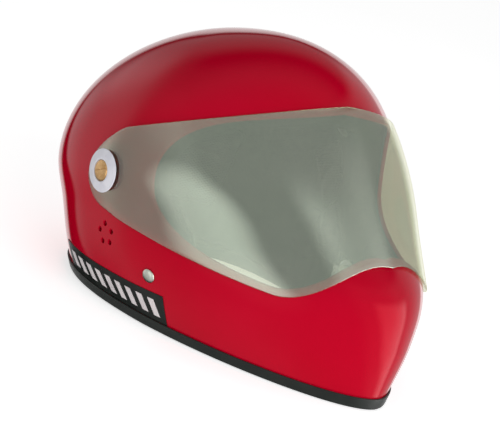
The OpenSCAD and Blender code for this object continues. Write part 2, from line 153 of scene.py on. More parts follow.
def skin(a, z, off=0.0):
    """Points of the skin at the angle a from the front and the level z, moved out by off."""
    a, z, off = np.broadcast_arrays(np.asarray(a, float), np.asarray(z, float),
                                    np.asarray(off, float))
    w = (profile(HALF_WIDTHS, z) + off) * dome(z, SIDE_EXP)
    f = (profile(FRONTS, z) + off) * dome(z, FRONT_EXP)
    b = (profile(BACKS, z) + off) * dome(z, SIDE_EXP)
    k = ease((cos(a) + 0.35) / 0.7)
    brow = np.clip((z + 70) / 90, 0, 1)
    n = mix(BACK_EXP, mix(CHIN_EXP, BROW_EXP, brow), k)
    r = slice_r(a, w, mix(b, f, k), n)
    return np.stack([r * sin(a), -r * cos(a), np.where(z > 0, z * (CROWN + off) / CROWN, z)], -1)


def edge_level(a, off=0.0, h=0.0):
    """Level of the skin at the angle a, h above the plane of the shell's lower edge."""
    z = np.full(np.broadcast(a, off, h).shape, -100.0)
    for _ in range(7):
        z = h - EDGE_DROP - math.tan(TILT) * skin(a, z, off)[..., 1]
    return z


def layout(a, z):
    """The flat layout of the skin: the crown is its middle, the lower edge its outside."""
    top = 1 - np.degrees(np.arcsin(np.clip(z / CROWN, 0, 1))) / 90
    r = np.where(z > 0, top, 1 - z / UNROLL)
    return np.stack([r * sin(a), -r * cos(a)], -1)


def unlayout(q, off=0.0):
    r = np.hypot(q[..., 0], q[..., 1])
    return skin(np.degrees(np.arctan2(q[..., 0], -q[..., 1])),
                np.where(r < 1, CROWN * cos(90 * r), (1 - r) * UNROLL), off)


def visor_low(a):
    b = abs(a)
    return -85.5 + 0.63 * b + np.where(b < 30, 41.5 * cos(3 * a) ** 2, 0)


def visor_high(a):
    return 60 - 23 * (abs(a) / 72) ** 1.3


def port_point(t):
    a = PORT_HALF * cos(t)
    fade = np.maximum(0, 1 - abs(cos(t)) ** 6) ** (1 / 2.2)
    edge = np.where(sin(t) >= 0, PORT_TOP - 0.21 * abs(a), visor_low(a) + PORT_OVERLAP)
    return layout(a, mix(PORT_MID, edge, fade))


def edge_angle(t):
    return np.where(t <= 180, mix(PORT_SIDE, 360 - PORT_SIDE, t / 180),
                    mix(-PORT_SIDE, PORT_SIDE, (t - 180) / 180))


def between(t, s):
    """Layout points the share s of the way from the port to the lower edge."""
    u = np.mod(np.asarray(t, float) + 360, 360)
    a = edge_angle(u)
    s = np.asarray(s, float)[..., None]
    return mix(port_point(u), layout(a, edge_level(a)), s)


def skin_normal(points):
    """Outward normals of the skin at points on or near it, in the head frame."""
    a = np.degrees(np.arctan2(points[:, 0], -points[:, 1]))
    q = layout(a, np.clip(points[:, 2], -150, CROWN - 1e-3))
    e = 0.004
    n = np.cross(unlayout(q + [e, 0]) - unlayout(q - [e, 0]),
                 unlayout(q + [0, e]) - unlayout(q - [0, e]))
    n /= np.linalg.norm(n, axis=1)[:, None]
    out = points - [0, 0, -20]
    return n * np.sign(np.sum(n * out, 1))[:, None]


def one_normal(a, z):
    n = np.cross(skin(a + 0.5, z) - skin(a - 0.5, z), skin(a, z + 0.5) - skin(a, z - 0.5))
    return n / np.linalg.norm(n)


# ---- mesh helpers ----
def to_row(points, head=True):
    """Millimetres, in the head frame or the row frame, to metres in the row frame."""
    p = np.asarray(points, float).reshape(-1, 3)
    return (p @ LEAN.T + PIVOT if head else p) * MM


def to_head(points):
    """Metres in the row frame to millimetres in the head frame."""
    return (np.asarray(points, float) / MM - PIVOT) @ LEAN


def coords(mesh):
    co = np.empty(len(mesh.vertices) * 3)
    mesh.vertices.foreach_get("co", co)
    return co.reshape(-1, 3)


def piece(name, points, faces, mat, head=True, sharp=35, weld=True):
    """A smooth-shaded closed mesh; edges sharper than the angle stay sharp."""
    mesh = bpy.data.meshes.new(name)
    mesh.from_pydata(to_row(points, head).tolist(), [], faces)
    bm = bmesh.new()
    bm.from_mesh(mesh)
    if weld:
        bmesh.ops.remove_doubles(bm, verts=bm.verts, dist=1e-6)
    bmesh.ops.recalc_face_normals(bm, faces=bm.faces)
    bm.to_mesh(mesh)
    bm.free()
    smooth(mesh, sharp)
    ob = bpy.data.objects.new(name, mesh)
    bpy.context.scene.collection.objects.link(ob)
    ob.data.materials.append(mat)
    return ob


def smooth(mesh, sharp):
    mesh.shade_smooth()
    if sharp:
        mesh.set_sharp_from_angle(angle=math.radians(sharp))


def grid_faces(n, m, wrap_n=False, wrap_m=False, start=0):
    rows = range(n if wrap_n else n - 1)
    cols = range(m if wrap_m else m - 1)
    return [(start + i * m + j, start + i * m + (j + 1) % m,
             start + ((i + 1) % n) * m + (j + 1) % m, start + ((i + 1) % n) * m + j)
            for i in rows for j in cols]


def slab_mesh(outer, inner):
    """Points and faces of the closed solid between two equal grids of points."""
    n, m = outer.shape[:2]
    k = n * m
    faces = grid_faces(n, m) + grid_faces(n, m, start=k)
    rim = ([i * m for i in range(n)] + [(n - 1) * m + j for j in range(1, m)]
           + [i * m + m - 1 for i in range(n - 2, -1, -1)] + [j for j in range(m - 2, 0, -1)])
    faces += [(a, b, k + b, k + a) for a, b in zip(rim, rim[1:] + rim[:1])]
    return np.concatenate([outer.reshape(-1, 3), inner.reshape(-1, 3)]), faces


def fillet(corners, radius=0.3, seg=4, closed=True):
    """A polyline with its corners rounded; a third number in a corner is its own radius."""
    out = []
    for i, c in enumerate(corners):
        p = np.array(c[:2], float)
        r = c[2] if len(c) > 2 else radius
        if r == 0 or (not closed and i in (0, len(corners) - 1)):
            out.append(p)
            continue
        u = np.array(corners[i - 1][:2], float) - p
        v = np.array(corners[(i + 1) % len(corners)][:2], float) - p
        lu, lv = np.linalg.norm(u), np.linalg.norm(v)
        u, v = u / lu, v / lv
        half = math.acos(float(np.clip(u @ v, -0.9999, 0.9999))) / 2
        d = min(r / math.tan(half), 0.45 * lu, 0.45 * lv)
        for t in np.linspace(0, 1, seg + 1):
            out.append((1 - t) ** 2 * (p + u * d) + 2 * t * (1 - t) * p + t * t * (p + v * d))
    return np.array(out)


def lathe(name, section, origin, axis, mat, head=True, closed=True, turns=96, sharp=35):
    """Turns a section of (radius, height) about the axis through origin."""
    axis = np.asarray(axis, float) / np.linalg.norm(axis)
    side = np.cross(axis, [0, 0, 1] if abs(axis[2]) < 0.9 else [0, 1, 0])
    side /= np.linalg.norm(side)
    other = np.cross(axis, side)
    angle = np.linspace(0, 2 * math.pi, turns, endpoint=False)
    ring = np.cos(angle)[:, None] * side + np.sin(angle)[:, None] * other
    section = np.asarray(section, float)
    points = (np.asarray(origin, float) + ring[:, None, :] * section[None, :, 0, None]
              + axis * section[None, :, 1, None])
    return piece(name, points, grid_faces(turns, len(section), True, closed), mat, head, sharp)


def tube(name, path, radius, mat, head=False, closed=False, sides=16):
    """A round wire along a path of points; its ends are closed."""
    p = np.asarray(path, float)
    if closed:
        d = np.roll(p, -1, 0) - np.roll(p, 1, 0)
    else:
        d = np.gradient(p, axis=0)
    d /= np.linalg.norm(d, axis=1)[:, None]
    side = np.cross(d[0], [0.31, 0.22, 0.93])
    frames = []
    for t in d:
        side = side - t * (side @ t)
        side /= np.linalg.norm(side)
        frames.append((side, np.cross(t, side)))
    ang = np.linspace(0, 2 * math.pi, sides, endpoint=False)
    pts = np.array([c + radius * (np.cos(ang)[:, None] * a + np.sin(ang)[:, None] * b)
                    for c, (a, b) in zip(p, frames)])
    faces = grid_faces(len(p), sides, closed, True)
    if not closed:
        faces += [tuple(range(sides)), tuple((len(p) - 1) * sides + k for k in range(sides))]
    return piece(name, pts, faces, mat, head, sharp=50)


def evaluated(ob):
    """The object's mesh with its modifiers applied; the modifiers are removed."""
    graph = bpy.context.evaluated_depsgraph_get()
    mesh = bpy.data.meshes.new_from_object(ob.evaluated_get(graph), depsgraph=graph)
    ob.modifiers.clear()
    old, ob.data = ob.data, mesh
    bpy.data.meshes.remove(old)
    return ob


def linked(name, data):
    ob = bpy.data.objects.new(name, data)
    bpy.context.scene.collection.objects.link(ob)
    return ob


def unit_cube(name):
    bm = bmesh.new()
    bmesh.ops.create_cube(bm, size=1.0)
    mesh = bpy.data.meshes.new(name)
    bm.to_mesh(mesh)
    bm.free()
    return linked(name, mesh)


def lengths(p):
    """The length along the path at each of its points."""
    return np.concatenate([[0], np.cumsum(np.linalg.norm(np.diff(p, axis=0), axis=1))])


def set_points(ob, co):
    ob.data.vertices.foreach_set("co", co.ravel())
    ob.data.update()


def settle(ob, body, slot, *nodes):
    """ob rides on body and stands for the CAD nodes; slot is not used."""
    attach(ob, body)
    if nodes:
        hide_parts(*nodes)


def remove(ob):
    data = ob.data
    bpy.data.objects.remove(ob)
    bpy.data.meshes.remove(data)


def join(name, parts):
    """One object from several; the materials keep their order of first use."""
    base = parts[0]
    with bpy.context.temp_override(active_object=base, object=base,
                                   selected_objects=parts, selected_editable_objects=parts):
        bpy.ops.object.join()
    base.name = base.data.name = name
    return base


def enclosed(mesh):
    """The mesh's volume, in cubic metres."""
    bm = bmesh.new()
    bm.from_mesh(mesh)
    size = bm.calc_volume(signed=True)
    bm.free()
    return size


def cut(ob, cutters, solver="EXACT"):
    """Cuts the cutters, which are closed solids, out of ob; stops if that makes ob larger."""
    tool = join("cutter", cutters) if len(cutters) > 1 else cutters[0]
    before, size = coords(ob.data), enclosed(ob.data)
    mod = ob.modifiers.new("cut", "BOOLEAN")
    mod.operation, mod.solver, mod.object = "DIFFERENCE", solver, tool
    evaluated(ob)
    remove(tool)
    after = coords(ob.data)
    if (after.min(0) < before.min(0) - 1e-5).any() or (after.max(0) > before.max(0) + 1e-5).any() \
            or not 0.2 * size < enclosed(ob.data) <= size:
        raise RuntimeError("a cut in " + ob.name + " went wrong")
    return ob


def own_normals(ob, seek=0.06):
    """Shades the loops that lie on the skin, or SHELL_T inside it, with its exact normal."""
    mesh = ob.data
    head = to_head(coords(mesh))
    a = np.degrees(np.arctan2(head[:, 0], -head[:, 1]))
    on = []
    for off in (0.0, -SHELL_T):
        z = np.where(head[:, 2] > 0, head[:, 2] * CROWN / (CROWN + off), head[:, 2])
        on.append(np.linalg.norm(head - skin(a, np.minimum(z, CROWN - 1e-3), off), axis=1) < seek)
    exact = skin_normal(head) @ LEAN.T
    base = np.array([v.vector for v in mesh.corner_normals])
    loops = np.empty(len(mesh.loops), int)
    mesh.loops.foreach_get("vertex_index", loops)
    for poly in mesh.polygons:
        ids = loops[poly.loop_start:poly.loop_start + poly.loop_total]
        for where, sign in ((on[0], 1), (on[1], -1)):
            if where[ids].all():
                base[poly.loop_start:poly.loop_start + poly.loop_total] = sign * exact[ids]
    mesh.normals_split_custom_set(base.tolist())


# ---- materials ----
def node(tree, kind, inputs=None, **settings):
    n = tree.nodes.new("ShaderNode" + kind)
    for key, value in settings.items():
        setattr(n, key, value)
    for key, value in (inputs or {}).items():
        if isinstance(value, bpy.types.NodeSocket):
            tree.links.new(value, n.inputs[key])
        else:
            n.inputs[key].default_value = value
    return n


class Finish:
    """A material with one Principled shader, and the nodes that make its look."""

    def __init__(self, name, **sockets):
        self.mat = bpy.data.materials.new(name)
        self.mat.use_nodes = True
        self.tree = self.mat.node_tree
        self.tree.nodes.clear()
        self.shader = self.add("BsdfPrincipled",
                               {k.replace("_", " "): v for k, v in sockets.items()})
        self.out = self.add("OutputMaterial", {"Surface": self.shader.outputs[0]})
        self.place = self.add("TexCoord").outputs["Object"]

    def add(self, kind, inputs=None, **settings):
        return node(self.tree, kind, inputs, **settings)

    def maths(self, operation, *values):
        return self.add("Math", dict(enumerate(values)), operation=operation).outputs[0]

    def noise(self, scale, detail):
        return self.add("TexNoise", {"Vector": self.place, "Scale": scale,
                                     "Detail": detail}).outputs[0]

    def wave(self, scale, place=None, distortion=0.0, **settings):
        return self.add("TexWave", {"Vector": place or self.place, "Scale": scale,
                                    "Distortion": distortion}, **settings).outputs[1]

    def tint(self, factor, low, high):
        m = self.add("Mix", {0: factor, 6: (*low, 1), 7: (*high, 1)}, data_type="RGBA")
        self.tree.links.new(m.outputs[2], self.shader.inputs["Base Color"])

    def colours(self, low, high, scale, detail=3.0):
        """Base colour that wanders between low and high."""
        ramp = self.add("MapRange", {0: self.noise(scale, detail), 1: 0.35, 2: 0.65})
        self.tint(ramp.outputs[0], low, high)

    def rough(self, low, high, scale):
        ramp = self.add("MapRange", {0: self.noise(scale, 4.0), 1: 0.3, 2: 0.7, 3: low, 4: high})
        self.tree.links.new(ramp.outputs[0], self.shader.inputs["Roughness"])

    def relief(self, height, strength, distance):
        bump = self.add("Bump", {"Height": height, "Strength": strength, "Distance": distance})
        self.tree.links.new(bump.outputs[0], self.shader.inputs["Normal"])


def grained(name, colours, rough, grain, height, **sockets):
    """The arguments of Finish.colours, rough and noise, and the grain's strength and depth."""
    f = Finish(name, **sockets)
    f.colours(*colours)
    f.rough(*rough)
    f.relief(f.noise(*grain), *height)
    return f


def laminate():
    """The unpainted inside of the shell: resin over a woven mat."""
    f = Finish("laminate", Specular_IOR_Level=0.4)
    f.colours((0.035, 0.034, 0.03), (0.07, 0.066, 0.058), 60.0)
    f.rough(0.35, 0.6, 80.0)
    weave = f.maths("MAXIMUM", f.wave(90.0, distortion=1.5),
                    f.wave(90.0, distortion=1.5, bands_direction="Z"))
    f.relief(weave, 0.35, 0.0004)
    return f.mat


def vinyl(name, low, high, rough):
    return grained(name, (low, high, 70.0), (rough - 0.06, rough + 0.08, 90.0),
                   (1500.0, 1.0), (0.12, 0.0001), Specular_IOR_Level=0.4).mat


def plastic(name, low, high, rough):
    return grained(name, (low, high, 150.0), (rough - 0.05, rough + 0.1, 200.0),
                   (3000.0, 1.0), (0.1, 0.0001)).mat


def metal(name, low, high, rough, turned_about=None):
    """Metal with fine scratches; turned_about is a row-frame point on the lathe axis, in
    metres, for rings of tool marks about the X direction."""
    f = Finish(name, Metallic=1.0)
    f.colours(low, high, 260.0)
    f.rough(rough * 0.75, rough * 1.3, 500.0)
    if turned_about is None:
        stretch = f.add("Mapping", {"Vector": f.place, "Scale": (1, 0.08, 1)})
        marks = f.add("TexNoise", {"Vector": stretch.outputs[0], "Scale": 900.0, "Detail": 3.0})
        f.relief(marks.outputs[0], 0.12, 0.0001)
    else:
        moved = f.add("Mapping", {"Vector": f.place, "Location": tuple(-v for v in turned_about)})
        flat = f.add("VectorMath", {0: moved.outputs[0], 1: (0, 1, 1)}, operation="MULTIPLY")
        radius = f.add("VectorMath", {0: flat.outputs[0]}, operation="LENGTH").outputs["Value"]
        f.relief(f.maths("SINE", f.maths("MULTIPLY", radius, 16000.0)), 0.15, 0.00006)
    return f.mat


def foam():
    """Moulded bead foam: cells a few millimetres across, pressed flat against the mould."""
    f = Finish("bead_foam", Specular_IOR_Level=0.25)
    cells = f.add("TexVoronoi", {"Vector": f.place, "Scale": 330.0})
    grey = f.add("SeparateColor", {0: cells.outputs["Color"]})
    f.tint(grey.outputs[0], (0.012, 0.012, 0.0135), (0.034, 0.034, 0.037))
    f.rough(0.6, 0.85, 200.0)
    f.relief(cells.outputs["Distance"], 0.35, -0.0006)
    return f.mat


def knit(name, low, high):
    """Brushed mesh knit over foam: small open cells in offset rows."""
    f = Finish(name, Roughness=0.85, Specular_IOR_Level=0.2, Sheen_Weight=0.35,
               Sheen_Roughness=0.4)
    f.colours(low, high, 160.0, detail=6.0)
    heights = []
    for direction, turn in (("X", 0.9), ("Y", -0.9), ("Z", 0.4)):
        spun = f.add("Mapping", {"Vector": f.place, "Rotation": (turn, turn * 0.5, turn)})
        heights.append(f.wave(160.0, spun.outputs[0], distortion=0.4, bands_direction=direction))
    f.relief(f.maths("ADD", f.maths("MULTIPLY", *heights[:2]), heights[2]), 0.5, 0.0006)
    return f.mat


def webbing_cloth(name, low, high, rib=1.1):
    """Woven webbing. The mesh carries the way along and across it, in millimetres."""
    f = Finish(name, Roughness=0.7, Specular_IOR_Level=0.3, Sheen_Weight=0.25,
               Sheen_Roughness=0.35)
    along, across = (f.add("Attribute", attribute_name=a).outputs["Fac"]
                     for a in ("along", "across"))

    def ribs(value, period):
        return f.maths("SINE", f.maths("MULTIPLY", value, 2 * math.pi / period))

    height = f.maths("MULTIPLY", ribs(across, rib), ribs(f.maths("ADD", along, across), rib * 0.8))
    # Painted shade: the weave's hollows are coloured darker than its ridges, following the bump's
    # height.
    f.tint(f.add("MapRange", {0: height, 1: -1.0, 2: 1.0}).outputs[0], low, high)
    f.relief(height, 0.6, 0.00025)
    return f.mat


def thread(name, low, high):
    f = Finish(name, Roughness=0.6, Sheen_Weight=0.3)
    f.colours(low, high, 900.0)
    f.relief(f.wave(900.0, bands_direction="DIAGONAL"), 0.5, 0.0001)
    return f.mat


def visor_sheet():
    """Tinted polycarbonate with a half-mirror coat: what shines through, mixed with it."""
    f = grained("half_mirror_visor", ((0.66, 0.76, 0.66), (0.72, 0.8, 0.71), 14.0),
                (0.05, 0.085, 22.0), (16.0, 2.0), (0.02, 0.0015), Metallic=1.0)
    clear = f.add("BsdfTransparent", {"Color": (0.87, 0.86, 0.76, 1)})
    blend = f.add("MixShader", {0: 0.3, 1: clear.outputs[0], 2: f.shader.outputs[0]})
    f.tree.links.new(blend.outputs[0], f.out.inputs["Surface"])
    return f.mat


PAINT = grained("gloss_red_paint", ((0.43, 0.0004, 0.014), (0.46, 0.001, 0.018), 9.0),
                (0.035, 0.07, 30.0), (700.0, 1.0), (0.04, 0.0002), IOR=1.42,
                Specular_Tint=(1.0, 0.12, 0.15, 1)).mat
INSIDE = laminate()
RUBBER = grained("edge_rubber", ((0.0035, 0.006, 0.0045), (0.008, 0.012, 0.009), 45.0),
                 (0.38, 0.55, 120.0), (2400.0, 2.0), (0.25, 0.00015),
                 Specular_IOR_Level=0.35, Sheen_Weight=0.08).mat
BLACK_VINYL = vinyl("black_vinyl", (0.004, 0.0065, 0.005), (0.009, 0.0125, 0.01), 0.3)
PALE_VINYL = vinyl("pale_vinyl", (0.55, 0.52, 0.53), (0.66, 0.63, 0.63), 0.4)
WHITE = plastic("white_washer", (0.62, 0.62, 0.68), (0.69, 0.69, 0.74), 0.32)
NYLON = plastic("black_nylon", (0.012, 0.012, 0.013), (0.025, 0.025, 0.027), 0.4)
BRASS = metal("turned_brass", (0.68, 0.4, 0.17), (0.78, 0.5, 0.24), 0.3, tuple(PIVOT * MM))
STEEL = metal("zinc_steel", (0.45, 0.46, 0.47), (0.58, 0.59, 0.6), 0.32)
RING_STEEL = metal("ring_steel", (0.5, 0.51, 0.52), (0.64, 0.65, 0.66), 0.2)
PEARL = metal("rivet_pearl", (0.66, 0.7, 0.6), (0.76, 0.79, 0.7), 0.34)
FOAM = foam()
FABRIC = knit("pad_knit", (0.012, 0.013, 0.016), (0.03, 0.032, 0.038))
BINDING = knit("pad_binding", (0.006, 0.006, 0.007), (0.014, 0.014, 0.016))
HOOKS = knit("hook_tape", (0.02, 0.02, 0.02), (0.045, 0.045, 0.045))
WEBBING = webbing_cloth("strap_webbing", (0.008, 0.008, 0.009), (0.03, 0.03, 0.033))
THREAD = thread("stitch_thread", (0.05, 0.05, 0.055), (0.1, 0.1, 0.11))
VISOR = visor_sheet()

# ---- shell ----
RIVET = np.array([0, -34.0, -69.0])
RIVET_X = 103.3
VENT_Y, VENT_Z, VENT_RING, VENT_R = 8.0, -45.7, 7.2, 1.75


def round_share(t, reach):
    """The share of the way to the lower edge that is reach millimetres from the port."""
    step = np.linalg.norm(unlayout(between(t, 0.01 + 0 * t)) - unlayout(between(t, 0 * t)), axis=-1)
    return reach * 0.01 / step


def make_shell():
    columns, rows, lip = 288, 66, 1.2
    u = np.arange(columns) * 360 / columns
    t = u - 0.3 * np.degrees(sin(2 * u))
    unit = round_share(t, 1.0)
    down = np.linspace(0, 1, rows) ** 1.1
    arc = np.linspace(0, 90, 6)
    loop = [(mix(lip * unit, 1, s), 0.0) for s in down[::-1]]
    loop += [(lip * (1 - sin(g)) * unit, -lip * (1 - cos(g))) for g in arc[1:]]
    loop += [(lip * (1 - cos(g)) * unit, -SHELL_T + lip * (1 - sin(g))) for g in arc]
    loop += [(mix(lip * unit, 1, s), -SHELL_T) for s in down[1:]]
    points = np.stack([unlayout(between(t, s), off) for s, off in loop], 1)
    shell = piece("helmet_shell", points, grid_faces(columns, len(loop), True, True), PAINT)
    shell.data.materials.append(INSIDE)
    inside = len(loop) - rows + 1
    for p, (i, j) in zip(shell.data.polygons, [(i, j) for i in range(columns)
                                               for j in range(len(loop))]):
        p.material_index = 1 if inside <= j < len(loop) - 1 else 0
    cutters = []
    for _, side in SIDES:
        for r, y, z in [(4.1, 0, 0), (2.6, RIVET[1], RIVET[2])]:
            cutters.append(lathe("bore", [(0, 80), (r, 80), (r, 130), (0, 130)], (0, y, z),
                                 (side, 0, 0), PAINT, closed=False, turns=48))
        for k in range(5):
            y, z = VENT_Y + VENT_RING * sin(72 * k), VENT_Z + VENT_RING * cos(72 * k)
            x = skin(math.degrees(math.atan2(114, -y)), z)[0]
            section = [(0, x - 12), (VENT_R, x - 12), (VENT_R, x - 0.7), (VENT_R + 0.12, x - 0.35),
                       (VENT_R + 0.5, x + 0.1), (VENT_R + 1.4, x + 1.4), (0, x + 1.4)]
            cutters.append(lathe("vent", section, (0, y, z), (side, 0, 0), PAINT,
                                 closed=False, turns=40))
    cut(shell, cutters)
    smooth(shell.data, 35)
    own_normals(shell)
    settle(shell, "helmet", "shell_gloss", "outer_shell")
    return shell


make_shell()


# ---- rubber edge and the plain bands ----
def make_trim():
    out, inner, top, low = 1.7, -SHELL_T - 1.7, 6.5, -2.0
    section = fillet([(out, low, 1.5), (out, top, 0.9), (0.1, top, 0.25), (0.1, -0.1, 0),
                      (-SHELL_T - 0.1, -0.1, 0), (-SHELL_T - 0.1, top, 0.25),
                      (inner, top, 0.9), (inner, low, 1.5)], seg=5)
    a = np.linspace(0, 360, 288, endpoint=False)
    points = np.stack([skin(a, edge_level(a, off, h), off) for off, h in section], 1)
    trim = piece("rubber_edge", points, grid_faces(len(a), len(section), True, True), RUBBER,
                 sharp=50)
    settle(trim, "helmet", "edge_rubber", "bottom_trim")


BAND_FRONT, BAND_BACK, BAND_T, TRIM_TOP = 66.0, 128.0, 0.4, 6.5


def band_top(a):
    return mix(30.0, 25.0, (a - BAND_FRONT) / (BAND_BACK - BAND_FRONT))


def band_patch(name, a0, a1, h0, share, lean, off, thick, mat, n, m, side):
    """A thin patch on the skin above the edge, its rim rounded down to the skin."""
    inset = np.array([0, 0.03, 0.12])
    i, j = (np.concatenate([inset * 0.5 / k, np.linspace(0.5 / k, 1 - 0.5 / k, k),
                            1 - inset[::-1] * 0.5 / k]) for k in (n, m))
    ii, jj = np.meshgrid(i, j, indexing="ij")
    b = mix(a0, a1, ii) + lean * jj
    h = mix(h0, share * band_top(b), jj)
    edge = np.minimum(np.minimum(ii, 1 - ii) * 2 * n, np.minimum(jj, 1 - jj) * 2 * m)
    lift = off + thick * (0.35 + 0.65 * np.clip(edge / 0.12, 0, 1) ** 0.5)
    outer = skin(b, edge_level(b, lift, h), lift)
    inner = skin(b, edge_level(b, off + 0 * h, h), off)
    outer[..., 0] *= side
    inner[..., 0] *= side
    points, faces = slab_mesh(outer, inner)
    return piece(name, points, faces, mat, sharp=40)


def make_bands():
    bars = 9
    pitch = (BAND_BACK - BAND_FRONT - 6) / bars
    for name, side in SIDES:
        band = band_patch("band_" + name, BAND_FRONT, BAND_BACK, TRIM_TOP + 0.2, 1, 0, 0.1,
                          BAND_T, BLACK_VINYL, 100, 12, side)
        settle(band, "helmet", "band_black")
        marks = join("band_bars_" + name, [
            band_patch("bar", BAND_FRONT + 3 + k * pitch, BAND_FRONT + 3 + (k + 0.5) * pitch,
                       TRIM_TOP + 5, 0.82, 2, 0.1 + BAND_T + 0.05, 0.3, PALE_VINYL, 8, 10, side)
            for k in range(bars)])
        settle(marks, "helmet", "band_pale")
        if side == 1:
            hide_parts("side_bands")
            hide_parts("band_bars")


make_trim()
make_bands()

# ---- visor and its pivots ----
VISOR_T, STAND_OFF, EAR_R, EAR_Z = 2.0, 4.8, 19.5, -6.0
VISOR_FRONT, VISOR_RAKE, VISOR_BACK, VISOR_EXP = 142.5, 0.551, 165.0, 1.82
PIVOT_W = 120.0
VISOR_X = PIVOT_W + STAND_OFF
WASHER_X = VISOR_X + 0.3
HANGER_X = 88.0                     # outer face of the strap hangers


def visor_point(a, z, off):
    w = profile(HALF_WIDTHS, z) * dome(z, SIDE_EXP) + STAND_OFF + off
    reach = np.where(cos(a) > 0, VISOR_FRONT - VISOR_RAKE * z + off, VISOR_BACK)
    r = slice_r(a, w, reach, VISOR_EXP)
    return np.stack([r * sin(a), -r * cos(a), z + 0 * r], -1)


def visor_edge(a, up):
    b = abs(a)
    straight = visor_high(b) if up else visor_low(b)
    y = np.maximum(0, VISOR_X * sin(b - 90))
    half = np.sqrt(np.maximum(0.2, EAR_R ** 2 - y * y))
    return mix(straight, EAR_Z + (half if up else -half), ease((b - 83) / 18.5))


def make_visor():
    n, rows = 320, 40
    end = 90 + math.degrees(math.asin(EAR_R / VISOR_X))
    u = np.linspace(-1, 1, n + 1)
    a = end * u * (1.5 - 0.5 * u * u)
    low, high = visor_edge(a, False), visor_edge(a, True)
    r = np.minimum(0.75, 0.45 * (high - low))
    arc = np.linspace(0, 90, 5)
    loop = [(mix(low + r, high - r, k), -0.0 * a) for k in np.linspace(0, 1, rows)]
    loop += [(high - r + r * sin(g), -r * (1 - cos(g))) for g in arc[1:]]
    loop += [(high - r + r * cos(g), -VISOR_T + r * (1 - sin(g))) for g in arc]
    loop += [(mix(high - r, low + r, k), -VISOR_T + 0 * a) for k in np.linspace(0, 1, rows)[1:]]
    loop += [(low + r - r * sin(g), -VISOR_T + r * (1 - cos(g))) for g in arc[1:]]
    loop += [(low + r - r * cos(g), -r * (1 - sin(g))) for g in arc[:-1]]
    points = np.stack([visor_point(a, z, off) for z, off in loop], 1)
    m = len(loop)
    faces = grid_faces(n + 1, m, False, True)
    faces += [tuple(range(m)), tuple(n * m + k for k in range(m))]
    visor = piece("tinted_visor", points, faces, VISOR, sharp=60, weld=False)
    cut(visor, [lathe("bore", [(0, 105), (6.06, 105), (6.06, 140), (0, 140)], (0, 0, 0),
                      (side, 0, 0), VISOR, closed=False, turns=64) for _, side in SIDES])
    smooth(visor.data, 60)
    settle(visor, "visor", "visor_sheet", "visor")


def make_pivots():
    for name, side in SIDES:
        axis = (side, 0, 0)
        x = WASHER_X
        washer = lathe("washer_" + name, fillet(
            [(2.7, x, 0.1), (15.0, x, 0.2), (15.5, x + 0.5, 0.3), (15.1, x + 1, 0.3),
             (9.2, x + 2.4, 0.3), (7.8, x + 2.4, 0.25), (7.6, x + 1.1, 0.15), (2.7, x + 1.1, 0.1)],
            seg=4), (0, 0, 0), axis, WHITE, turns=160, sharp=60)
        settle(washer, "helmet", "washer_white", "visor_washer_" + name)
        h = x + 1.1
        screw = lathe("screw_" + name, np.concatenate([
            [(0, PIVOT_W - 5), (1.9, PIVOT_W - 5)],
            *[[(2.45, q), (2.2, q + 0.4)] for q in np.arange(PIVOT_W - 4.4, h - 0.9, 0.8)],
            fillet([(2.45, h, 0), (7.3, h, 0.15), (7.3, h + 0.9, 0.25), (6.4, h + 1.4, 0.5),
                    (4, h + 1.8, 0.5), (0, h + 2, 0)], seg=4, closed=False)]),
            (0, 0, 0), axis, BRASS, closed=False, turns=128, sharp=40)
        lean = Matrix.Rotation(math.radians(12 * side), 4, "X")
        slot_tool = unit_cube("slot")
        mid = Vector(to_row([[side * (h + 0.8 + 1.5), 0, 0]])[0])
        turned = Matrix.Rotation(TILT, 4, "X") @ lean
        slot_tool.matrix_world = (Matrix.Translation(mid) @ turned
                                  @ Matrix.Diagonal((3 * MM, 20 * MM, 1.6 * MM, 1)))
        bpy.context.view_layer.update()
        cut(screw, [slot_tool])
        smooth(screw.data, 40)
        settle(screw, "helmet", "brass", "visor_screw_" + name)
        n = one_normal(math.degrees(math.atan2(RIVET_X, -RIVET[1])), RIVET[2])
        at = skin(math.degrees(math.atan2(RIVET_X, -RIVET[1])), RIVET[2])
        flip = np.array([side, 1, 1])
        angles = np.linspace(0, 1, 14)
        cap = [(5.2 * math.sin(g * math.pi / 2), 0.45 + 2.05 * math.cos(g * math.pi / 2))
               for g in angles]
        head = lathe("rivet_head_" + name, cap + [(5.0, 0.3), (4.6, 0.22), (0, 0.22)],
                     at * flip, n * flip, PEARL, closed=False, turns=96, sharp=50)
        hx = HANGER_X
        shank = lathe("rivet_shank_" + name, fillet(
            [(0, hx - 4.2, 0), (4.5, hx - 4.2, 0.5), (4.5, hx - 2.4, 0.3), (2.5, hx - 2.4, 0.1),
             (2.5, RIVET_X + 1, 0.1), (0, RIVET_X + 1, 0)], seg=3, closed=False),
            (0, HANG[0], HANG[1]), axis, PEARL, head=False, closed=False, turns=64)
        rivet = join("strap_rivet_body_" + name, [head, shank])
        settle(rivet, "helmet", "rivet_metal", "strap_rivet_" + name)


HANG = ((RIVET @ LEAN.T + PIVOT)[1], (RIVET @ LEAN.T + PIVOT)[2])
make_visor()
make_pivots()

# ---- foam ----
TEE_ROOM, EAR_ROOM, SPLIT, CHIN_FOAM_T = 14.0, 18.0, 34.0, 16.0
PAD_T, CHEEK_T = 8.0, 20.0
STRAP_ROOM_X, FOAM_VOXEL = 72.0, 2.4


def share(t, reach):
    """The share of the way from the port to the lower edge that is reach long on the skin."""
    u = np.mod(np.asarray(t, float) + 360, 360)
    a = edge_angle(u)
    return reach / (UNROLL * np.linalg.norm(layout(a, edge_level(a)) - port_point(u), axis=-1))


def box_tool(low, high):
    tool = unit_cube("box_tool")
    low, high = np.array(low) * MM, np.array(high) * MM
    tool.data.transform(Matrix.Translation(Vector((low + high) / 2))
                        @ Matrix.Diagonal((*(high - low), 1)))
    return tool


